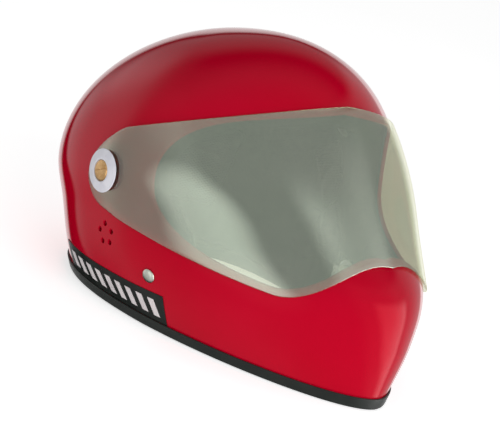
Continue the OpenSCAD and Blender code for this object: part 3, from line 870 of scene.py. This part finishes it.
def bore(radius, y, z, low, high, side):
    return lathe("bore", [(0, low), (radius, low), (radius, high), (0, high)], (0, y, z),
                 (side, 0, 0), FOAM, closed=False, turns=64)


def remeshed(ob, voxel, rounds):
    """Even small faces all over ob, its corners eased."""
    mod = ob.modifiers.new("even", "REMESH")
    mod.mode, mod.voxel_size, mod.use_smooth_shade = "VOXEL", voxel * MM, True
    if rounds:
        ease_mod = ob.modifiers.new("ease", "SMOOTH")
        ease_mod.iterations, ease_mod.factor = rounds, 0.5
    evaluated(ob)
    ob.data.shade_smooth()
    return ob


def liner_grid(t0, t1, n, m, off):
    t = np.linspace(t0, t1, n + 1)[:, None]
    j = np.linspace(0, 1, m + 1)[None, :]
    low, high = share(t[:, 0], 5.0)[:, None], 1 - share(t[:, 0], 11.0)[:, None]
    t, j = np.broadcast_arrays(t, j)
    return unlayout(between(t, mix(low, high, j)), off)


def make_foam():
    liners = []
    for name, node_name, span, size, thick in (
            ("dome_foam", "dome_liner", (1 - SPLIT, 180 + SPLIT - 1), (150, 46), FOAM_T),
            ("chin_foam", "chin_liner", (180 + SPLIT, 360 - SPLIT), (80, 22), CHIN_FOAM_T)):
        points, faces = slab_mesh(liner_grid(*span, *size, FOAM_OFF),
                                  liner_grid(*span, *size, FOAM_OFF - thick))
        liner = piece(name, points, faces, FOAM)
        tools = []
        for _, side in SIDES:
            if name == "dome_foam":
                tools += [bore(TEE_ROOM, 0, 0, 105, 130, side),
                          bore(EAR_ROOM, VENT_Y, VENT_Z, 60, 125, side)]
            x = side * STRAP_ROOM_X
            tools.append(box_tool((x - 32, HANG[0] - 24, -5), (x + 32, HANG[0] + 24, HANG[1] + 12)))
        remeshed(liner, FOAM_VOXEL, 0)
        for tool in tools:
            cut(liner, [tool], "MANIFOLD")
        remeshed(liner, FOAM_VOXEL, 3)
        settle(liner, "helmet", "foam", node_name)
        liners.append(liner)
    return liners


# ---- pads ----
MIDDLE, ACROSS = ((0.5, 0.1), (0.5, 0.9)), ((0.06, 0.5), (0.94, 0.5))
PADS = {                # t range, s range, thickness, seams as (t, s) to (t, s) in the pad's 0..1
    "crown_pad": ((48, 132), (0.17, 0.48), PAD_T,
                  [((0.33, 0.06), (0.33, 0.94)), ((0.67, 0.06), (0.67, 0.94))]),
    "brow_pad": ((42, 138), (0.045, 0.14), PAD_T, [MIDDLE]),
    "neck_pad": ((60, 120), (0.6, 0.9), PAD_T, [((0.08, 0.5), (0.92, 0.5))]),
}
PADS.update({"temple_pad_" + k: ((6, 42), (0.12, 0.44), PAD_T, [MIDDLE]) for k, _ in SIDES})
PADS.update({"cheek_pad_" + k: ((-30, 0), (0.08, 0.42), CHEEK_T, [ACROSS]) for k, _ in SIDES})


def sided(name, *points):
    """Mirrors the points of a right-hand piece."""
    if name.endswith("right"):
        for p in points:
            p[..., 0] *= -1


def pad_point(spec, u, v, depth, grow=0.0):
    """Point of a pad at the shares u, v of its ranges and the depth 0..1 towards the head."""
    (t0, t1), (s0, s1), thick = spec[:3]
    pull_t, pull_s = 0.04 * depth + grow, 0.06 * depth + grow
    t = mix(t0 + (t1 - t0) * pull_t, t1 - (t1 - t0) * pull_t, u)
    q = mix(s0 + (s1 - s0) * pull_s, s1 - (s1 - s0) * pull_s, v)
    t, q = np.broadcast_arrays(t, q)
    return unlayout(between(t, q), PAD_OFF - thick * depth)


def pad_blank(name, spec):
    """The pad before it swells: smaller than its CAD solid, with rounded corners."""
    u, v = np.meshgrid(np.linspace(0, 1, 40), np.linspace(0, 1, 28), indexing="ij")
    x, y = 2 * u - 1, 2 * v - 1                   # a square with round corners
    px, py = x * np.sqrt(1 - 0.16 * y ** 2), y * np.sqrt(1 - 0.16 * x ** 2)
    rise = 1 - 0.25 * np.maximum(abs(px), abs(py)) ** 6
    outer = pad_point(spec, (px + 1) / 2, (py + 1) / 2, 0.1, 0.02)
    inner = pad_point(spec, (px + 1) / 2, (py + 1) / 2, 0.84 * rise, 0.02)
    sided(name, outer, inner)
    points, faces = slab_mesh(outer, inner)
    return remeshed(piece(name + "_cloth", points, faces, FABRIC), 3.6, 1)


def swell(pads):
    """Cloth simulation of all the pads together: pressure swells each one."""
    rest = {}
    for pad in pads:
        rest[pad.name] = coords(pad.data)
        cloth = pad.modifiers.new("cloth", "CLOTH")
        c = cloth.settings
        c.quality, c.mass, c.air_damping = 6, 0.25, 4.0
        c.tension_stiffness = c.compression_stiffness = 22.0
        c.shear_stiffness, c.bending_stiffness = 12.0, 1.2
        c.use_pressure, c.uniform_pressure_force = True, 4.0
        c.effector_weights.gravity = 0.0
        cloth.collision_settings.use_collision = False
        cloth.point_cache.frame_start, cloth.point_cache.frame_end = 1, 20
    for f in range(1, 21):
        bpy.context.scene.frame_set(f)
    graph = bpy.context.evaluated_depsgraph_get()
    moved = {p.name: coords(p.evaluated_get(graph).data) for p in pads}
    bpy.context.scene.frame_set(1)
    for pad in pads:
        pad.modifiers.clear()
        step = moved[pad.name] - rest[pad.name]
        reach = np.linalg.norm(step, axis=1)[:, None]
        cap = 5.0 * MM
        step *= cap * np.tanh(reach / cap) / np.maximum(reach, 1e-9)
        set_points(pad, rest[pad.name] + step)


def keep_clear(pad, foams, gap):
    """Moves the points of pad that are nearer the foam than gap back out of it."""
    co = coords(pad.data)
    for tree in foams:
        for i, p in enumerate(co):
            hit, normal, _, _ = tree.find_nearest(Vector(p), 0.02)
            if hit is not None:
                d = (Vector(p) - hit).dot(normal)
                if d < gap:
                    co[i] = p + np.array(normal) * (gap - d)
    set_points(pad, co)


def seam_line(name, spec, ends, count=40):
    u = np.linspace(ends[0][0], ends[1][0], count)
    v = np.linspace(ends[0][1], ends[1][1], count)
    line = pad_point(spec, u, v, 0.9)
    sided(name, line)
    return to_row(line)


def sew(name, pad, spec):
    """Sinks the seams into the swollen pad and lays stitches along them."""
    co = coords(pad.data)
    out = (skin_normal(to_head(co)) @ LEAN.T)
    lines = [seam_line(name, spec, ends) for ends in spec[3]]
    for line in lines:
        gaps = np.min(np.linalg.norm(co[:, None] - line[None], axis=2), axis=1)
        co += out * (1.9 * MM * np.exp(-(gaps / (2.6 * MM)) ** 2))[:, None]
    set_points(pad, co)
    pad.data.shade_smooth()
    tree = BVHTree.FromPolygons([Vector(p) for p in co],
                                [tuple(f.vertices) for f in pad.data.polygons])
    threads = []
    for line in lines:
        on = np.array([tree.find_nearest(Vector(p))[0] for p in line])
        length = lengths(on)
        for start in np.arange(2 * MM, length[-1] - 3 * MM, 4.2 * MM):
            at = np.array([[np.interp(start + k * MM, length, on[:, c]) for c in range(3)]
                           for k in (0, 1.4, 2.8)])
            lift = np.array([0.0, 0.35, 0.0])[:, None] * MM
            away = -(skin_normal(to_head(at)) @ LEAN.T)
            path = (at + away * (lift - 0.05 * MM)) / MM
            threads.append(tube("stitch", path, 0.35, THREAD, sides=6))
    return join(name + "_stitches", threads)


def binding(name, pad, spec):
    """A bound edge round the pad, where its face meets its side."""
    turn = np.linspace(0, 2 * math.pi, 120, endpoint=False)
    x = np.sign(np.cos(turn)) * abs(np.cos(turn)) ** 0.42
    y = np.sign(np.sin(turn)) * abs(np.sin(turn)) ** 0.42
    line = pad_point(spec, (x * 0.99 + 1) / 2, (y * 0.99 + 1) / 2, 0.3, 0.0)
    sided(name, line)
    line = to_row(line)
    tree = BVHTree.FromObject(pad, bpy.context.evaluated_depsgraph_get())
    on = np.array([tree.find_nearest(Vector(p))[0] for p in line])
    for _ in range(3):
        on = (np.roll(on, 1, 0) + 2 * on + np.roll(on, -1, 0)) / 4
    return tube(name + "_binding", on / MM, 1.1, BINDING, closed=True, sides=10)


def make_pads(foams):
    pads = {name: pad_blank(name, spec) for name, spec in PADS.items()}
    swell(list(pads.values()))
    graph = bpy.context.evaluated_depsgraph_get()
    trees = [BVHTree.FromObject(f, graph) for f in foams]
    for name, spec in PADS.items():
        pad = pads[name]
        keep_clear(pad, trees, 0.8 * MM)
        sub = pad.modifiers.new("fine", "SUBSURF")
        sub.levels = sub.render_levels = 1
        evaluated(pad)
        stitches = sew(name, pad, spec)
        edge = binding(name, pad, spec)
        for ob in (pad, stitches, edge):
            settle(ob, "helmet", "pad_fabric")
        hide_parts(name)


make_pads(make_foam())

# ---- chin strap ----
STRAP_W, STRAP_T, STRAP_LOW, WIRE, RING_X = 20.0, 1.5, 7.0, 3.0, 30.0
HANGER_T, HANGER_DROP, BAR_R, SNAP_X = 1.5, 17.0, 1.9, -4.0
BAR = np.array([HANGER_X - HANGER_T / 2, HANG[1] - HANGER_DROP - 0.6])
STRAP_END = BAR - (2, 3)
HALF_RING = STRAP_W / 2 + WIRE / 2 + 1
OUTER_FREE, INNER_FREE = np.array([0, 0]), np.array([6.9, 2.2])
OUTER_HELD, INNER_HELD = np.array([15.1, -1.7]), np.array([22, 1])


def hang(x):
    return STRAP_LOW + (STRAP_END[1] - STRAP_LOW) * (np.asarray(x) / STRAP_END[0]) ** 2


def from_rings(points):
    tilt = math.atan(2 * (STRAP_END[1] - STRAP_LOW) * RING_X / STRAP_END[0] ** 2)
    turn = np.array([[math.cos(tilt), math.sin(tilt)], [-math.sin(tilt), math.cos(tilt)]])
    return np.array([RING_X, hang(RING_X) + 4.3]) + np.atleast_2d(points) @ turn


def eased(path, rounds=2):
    """Corner cutting."""
    p = np.asarray(path, float)
    for _ in range(rounds):
        a, b = p[:-1], p[1:]
        q = np.stack([0.75 * a + 0.25 * b, 0.25 * a + 0.75 * b], 1).reshape(-1, p.shape[1])
        p = np.vstack([p[:1], q, p[-1:]])
    return p


def even(path, pitch, closed=False):
    p = np.vstack([path, path[:1]]) if closed else np.asarray(path)
    length = lengths(p)
    count = max(int(length[-1] / pitch), 4)
    at = np.linspace(0, length[-1], count + 1)
    points = np.stack([np.interp(at, length, p[:, c]) for c in range(p.shape[1])], 1)
    return points[:count + (not closed)]


def directions(path, closed=False):
    d = np.roll(path, -1, 0) - np.roll(path, 1, 0) if closed else np.gradient(path, axis=0)
    return d / np.linalg.norm(d, axis=1)[:, None]


def normals(path, closed=False):
    d = directions(path, closed)
    return np.stack([-d[:, 1], d[:, 0]], 1)


def belt(name, path, closed=False):
    """Flat woven webbing along a path of [x, z] points, its selvedges rounded."""
    p = even(path, 1.0, closed)
    n = normals(p, closed)
    w, h = STRAP_W / 2, STRAP_T / 2
    row = np.linspace(-w + 0.5, w - 0.5, 10)
    section = [(y, h) for y in row] + [(w - 0.1, h * 0.7), (w, 0), (w - 0.1, -h * 0.7)]
    section += [(y, -h) for y in row[::-1]] + [(-w + 0.1, -h * 0.7), (-w, 0), (-w + 0.1, h * 0.7)]
    sec = np.array(section)
    pts = np.empty((len(p), len(sec), 3))
    pts[..., 0] = p[:, None, 0] + n[:, None, 0] * sec[None, :, 1]
    pts[..., 1] = HANG[0] + sec[None, :, 0]
    pts[..., 2] = p[:, None, 1] + n[:, None, 1] * sec[None, :, 1]
    faces = grid_faces(len(p), len(sec), closed, True)
    if not closed:
        faces += [tuple(range(len(sec))), tuple((len(p) - 1) * len(sec) + k for k in range(len(sec)))]
    ob = piece(name, pts, faces, WEBBING, head=False, sharp=60, weld=False)
    for label, values in (("along", np.broadcast_to(np.arange(len(p))[:, None] * 1.0, pts.shape[:2])),
                          ("across", np.broadcast_to(sec[None, :, 0], pts.shape[:2]))):
        data = ob.data.attributes.new(label, "FLOAT", "POINT").data
        data.foreach_set("value", np.ascontiguousarray(values, dtype=np.float32).ravel())
    return ob


def stadium(a, b, radius):
    """Closed path round the two points."""
    a, b = np.asarray(a, float), np.asarray(b, float)
    t = math.atan2(*(b - a)[::-1])
    turn = np.linspace(-math.pi / 2, math.pi / 2, 13)
    return np.array([c + radius * np.array([math.cos(start + g), math.sin(start + g)])
                     for c, start in ((b, t), (a, t + math.pi)) for g in turn])


def stitches(name, path, lines, side=1.0):
    """Rows of stitches on a belt; each line runs from (along, across) to (along, across) in mm."""
    p = even(path, 0.5)
    n = normals(p) * side
    threads = []
    for (s0, y0), (s1, y1) in lines:
        reach = math.hypot(s1 - s0, y1 - y0)
        for start in np.arange(0.4, reach - 2.0, 2.9):
            at = []
            for k, lift in ((0, -0.1), (1.0, 0.28), (2.0, -0.1)):
                f = (start + k) / reach
                i = min(max((s0 + (s1 - s0) * f) / 0.5, 0), len(p) - 1)
                j = int(round(i))
                q = p[j] + n[j] * (STRAP_T / 2 + lift)
                at.append((q[0], HANG[0] + y0 + (y1 - y0) * f, q[1]))
            threads.append(tube("stitch", at, 0.26, THREAD, sides=6))
    return join(name, threads)


def box_lines(s0, s1, y=7.4):
    return [((s0, -y), (s1, -y)), ((s0, y), (s1, y)), ((s0, -y), (s0, y)), ((s1, -y), (s1, y)),
            ((s0, -y), (s1, y)), ((s0, y), (s1, -y))]


def wire_loop(name, free, held):
    a, b = from_rings(free)[0], from_rings(held)[0]
    d = (b - a) / np.linalg.norm(b - a)
    r, path = 2.6, []
    length = np.linalg.norm(b - a)
    for cx, cy, start in ((length - r, HALF_RING - r, 0), (r, HALF_RING - r, 90),
                          (r, r - HALF_RING, 180), (length - r, r - HALF_RING, 270)):
        for g in np.radians(np.linspace(start, start + 90, 9)):
            u, y = cx + r * math.cos(g), cy + r * math.sin(g)
            path.append((a[0] + d[0] * u, HANG[0] + y, a[1] + d[1] * u))
    return tube(name, even(np.array(path), 1.2, True), WIRE / 2, RING_STEEL, closed=True, sides=24)


def make_strap():
    wrap = WIRE / 2 + 0.2 + STRAP_T / 2
    held = from_rings([OUTER_HELD, INNER_HELD])
    loop = stadium(BAR - (0, 1), BAR + (0, 1), BAR_R + STRAP_T / 2)
    double = eased([held[1], (held[1] + STRAP_END) / 2 - (0, 0.6), STRAP_END])
    n = normals(double) * STRAP_T / 2
    left = [belt("loop", loop, True), belt("held", stadium(*held, WIRE / 2 + 0.3 + STRAP_T / 2), True),
            belt("upper", double + n), belt("lower", double - n)]
    left = join("strap_webbing_left", left)
    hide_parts("strap_left")
    far = [(x, hang(x)) for x in np.arange(-STRAP_END[0], RING_X - 12, 8)]
    rings = from_rings(np.array([[1, -4.3], [7.2, -4.3], [9.1, -3.2], [9.7, -1.2]] + [
        INNER_FREE + np.array(q) for q in ((wrap + 0.1, 0), (wrap * 0.7, wrap * 0.7), (0, wrap),
                                           (-wrap * 0.7, wrap * 0.7), (-wrap, 0))]
        + [[3.4, 0.6], [wrap, -0.4], [wrap * 0.6, -wrap * 0.8], [0, -wrap]]))
    tail = [(x, hang(x) + STRAP_T + 0.3) for x in np.arange(RING_X - 10, -14.01, -8)]
    path = eased(np.vstack([far, rings, tail]))
    right = join("strap_webbing_right", [belt("loop", loop * (-1, 1), True), belt("run", path)])
    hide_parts("strap_right")
    total = np.linalg.norm(np.diff(path, axis=0), axis=1).sum()
    sewn = [stitches("strap_stitches_left", double + n, box_lines(7, 25)),
            stitches("strap_stitches_right", path, box_lines(8, 26)),
            stitches("strap_stitches_end", path, [((total - 3, -8), (total - 3, 8)),
                                                  ((total - 5, -8), (total - 5, 8))], -1.0)]
    for ob in [left, right] + sewn:
        settle(ob, "chin_strap", "webbing")
    outer = wire_loop("ring_outer_wire", OUTER_FREE, OUTER_HELD)
    inner = wire_loop("ring_inner_wire", INNER_FREE, INNER_HELD)
    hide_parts("d_ring_outer")
    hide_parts("d_ring_inner")
    at = (SNAP_X, HANG[0], 0)
    top, low = hang(SNAP_X) + 1.5 * STRAP_T + 0.9, hang(SNAP_X) - STRAP_T / 2 - 1.3
    discs = [lathe(label, fillet(section, seg=4, closed=False), at, (0, 0, 1), RING_STEEL,
                   head=False, closed=False, turns=72) for label, section in (
        ("snap_cap", [(0, top, 0), (5.5, top, 0.2), (5.45, top + 0.5, 0.3), (4.3, top + 1.6, 0.5),
                      (2.6, top + 1.6, 0.3), (2.2, top + 1.1, 0.3), (0, top + 1.1, 0)]),
        ("snap_base", [(0, low, 0), (3.4, low, 0.2), (3.8, low + 0.3, 0.2), (4.9, low, 0.3),
                       (5.4, low + 1.1, 0.2), (0, low + 1.2, 0)]))]
    socket, stud = discs
    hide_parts("snap_socket")
    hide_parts("snap_stud")
    for ob in (outer, inner, socket, stud):
        settle(ob, "chin_strap", "ring_steel")


def covered(name, mat):
    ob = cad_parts[name]
    ob.data.materials.clear()
    ob.data.materials.append(mat)
    for p in ob.data.polygons:
        p.material_index = 0
    return ob


def finish_carried():
    """Materials and eased edges for the CAD solids that show as they are."""
    for name, mat in (("visor_bushing", NYLON), ("tee_nut", STEEL), ("rivet_spacer", NYLON),
                      ("strap_hanger", STEEL)):
        for side, _ in SIDES:
            ob = covered(name + "_" + side, mat)
            ob.modifiers.new("weld", "WELD").merge_threshold = 1e-6
            bevel = ob.modifiers.new("bevel", "BEVEL")
            bevel.width, bevel.segments, bevel.limit_method = 0.25 * MM, 2, "ANGLE"
            bevel.angle_limit = math.radians(40)
    covered("hook_dots", HOOKS)


make_strap()
finish_carried()

# ---- studio ----
def unit(v):
    return v / np.linalg.norm(v)


def make_world():
    world = bpy.data.worlds.new("studio")
    bpy.context.scene.world = world
    world.use_nodes = True
    tree = world.node_tree
    tree.nodes.clear()
    direction = node(tree, "TexCoord").outputs["Generated"]

    def along(axis):
        return node(tree, "VectorMath", {0: direction, 1: tuple(axis)},
                    operation="DOT_PRODUCT").outputs["Value"]

    def math_node(kind, a, b=0.0):
        return node(tree, "Math", {0: a, 1: b}, operation=kind).outputs[0]

    def step(value, low, high):
        """0 below low, 1 above high, smooth between; low may be the larger."""
        if low > high:
            return math_node("SUBTRACT", 1.0, step(value, high, low))
        return node(tree, "MapRange", {0: value, 1: low, 2: high},
                    interpolation_type="SMOOTHSTEP").outputs[0]

    def times(a, b):
        return math_node("MULTIPLY", a, b)

    right, up, back = along(VIEW_RIGHT), along(VIEW_UP), along(VIEW_BACK)

    low_left = along(unit(-0.64 * VIEW_RIGHT - 0.12 * VIEW_UP + 0.76 * VIEW_BACK))
    slanted = math_node("ADD", back, times(up, 0.35))
    parts = [
        (1.0, step(back, -0.84, -0.9)),                                     # white backdrop
        (0.68, times(times(step(slanted, -0.75, -0.69), step(right, -0.2, -0.6)),
                     times(step(back, 0.1, -0.5), step(up, -0.5, 0.1)))),   # rear left box
        (0.3, times(step(back, -0.3, -0.6), times(step(back, -0.85, -0.8),
                                                  step(up, 0.45, 0.6)))),   # overhead, behind
        (0.47, times(step(right, -0.4, -0.9), step(back, -0.55, -0.2))),    # left wall
        (0.61, times(step(right, -0.9, -0.5), step(back, -0.3, 0.3))),      # front wall
        (0.84, step(low_left, 0.86, 0.985)),                                # low front box
        (0.62, times(step(right, 0.2, 0.5), step(up, 0.62, 0.46))),         # right box
        (2.9, times(times(step(right, 0.55, 0.75), step(up, 0.3, 0.0)),
                    step(back, -0.35, -0.1))),                              # low right box
    ]
    total = 0.0
    for strength, shape in parts:
        total = math_node("ADD", total, times(shape, strength))
    path = node(tree, "LightPath").outputs
    seen = node(tree, "Background", {"Color": (1, 1, 1, 1), "Strength": 1.0})
    soft = node(tree, "Background", {"Color": (1, 1, 1, 1), "Strength": 0.38})
    shine = node(tree, "Background", {"Color": (1, 1, 1, 1), "Strength": total})
    a = node(tree, "MixShader", {0: path["Is Glossy Ray"], 1: soft.outputs[0],
                                 2: shine.outputs[0]})
    b = node(tree, "MixShader", {0: path["Is Camera Ray"], 1: a.outputs[0], 2: seen.outputs[0]})
    node(tree, "OutputWorld", {"Surface": b.outputs[0]})


def area(name, where, size, watts):
    """A soft lamp that aims at the middle of the helmet."""
    data = bpy.data.lights.new(name, "AREA")
    data.shape, data.size, data.size_y = "RECTANGLE", size[0], size[1]
    data.energy = watts
    lamp = linked(name, data)
    lamp.location = Vector(where)
    middle = Vector((0, 0, 0.11))
    lamp.rotation_mode = "QUATERNION"
    lamp.rotation_quaternion = (lamp.location - middle).to_track_quat("Z", "Y")
    lamp.visible_glossy = False


def make_floor():
    f = Finish("pale_floor", Roughness=0.9, Specular_IOR_Level=0.0,
               Emission_Color=(1, 1, 1, 1), Emission_Strength=0.6)
    f.colours((0.9, 0.9, 0.9), (0.92, 0.92, 0.92), 2.0)
    mesh = bpy.data.meshes.new("floor")
    mesh.from_pydata([(-8, -8, -0.0005), (8, -8, -0.0005), (8, 8, -0.0005), (-8, 8, -0.0005)],
                     [], [(0, 1, 2, 3)])
    mesh.materials.append(f.mat)
    floor = linked("floor", mesh)
    floor.visible_glossy = False


make_world()
area("key", PIVOT * MM + 1.6 * VIEW_BACK + 0.8 * VIEW_RIGHT - 0.1 * VIEW_UP, (1.2, 1.2), 17)
area("overhead", (0.0, 0.3, 1.9), (1.6, 1.6), 2)
make_floor()
bpy.context.scene.view_settings.view_transform = "Standard"
